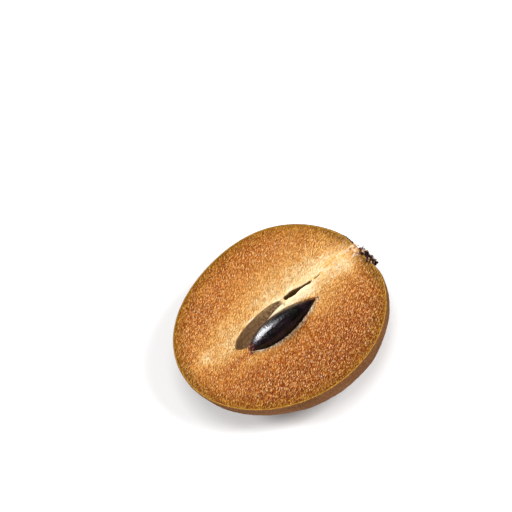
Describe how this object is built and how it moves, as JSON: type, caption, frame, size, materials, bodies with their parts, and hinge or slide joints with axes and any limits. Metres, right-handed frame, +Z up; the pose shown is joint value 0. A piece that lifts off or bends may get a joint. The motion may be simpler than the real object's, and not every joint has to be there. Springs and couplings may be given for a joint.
{
  "type": "sapodilla half",
  "caption": "Half of a ripe sapodilla cut lengthwise, rough brown skin below, grainy orange-brown flesh above with a glossy black seed in its pocket and a dry calyx.",
  "frame": {"origin": "centre of the small flat spot under the half, on the surface that it rests on", "axes": "+X along the fruit towards the stem end with its calyx, +Z up, square to the level cut face, +Y across the cut face away from the seed"},
  "size_m": [0.065, 0.0555, 0.0301],
  "materials": {
    "flesh": "grainy, moist orange-brown flesh, paler cream round the core and golden olive near the skin",
    "skin": "matte, finely speckled tan-brown skin",
    "seed_coat": "hard, glossy, near black with a purple-brown tint",
    "calyx": "dry, corky, dark grey-brown"
  },
  "bodies": {
    "root": {"fruit_half": "flesh", "seed": "seed_coat", "calyx": "calyx"}
  },
  "joints": []
}
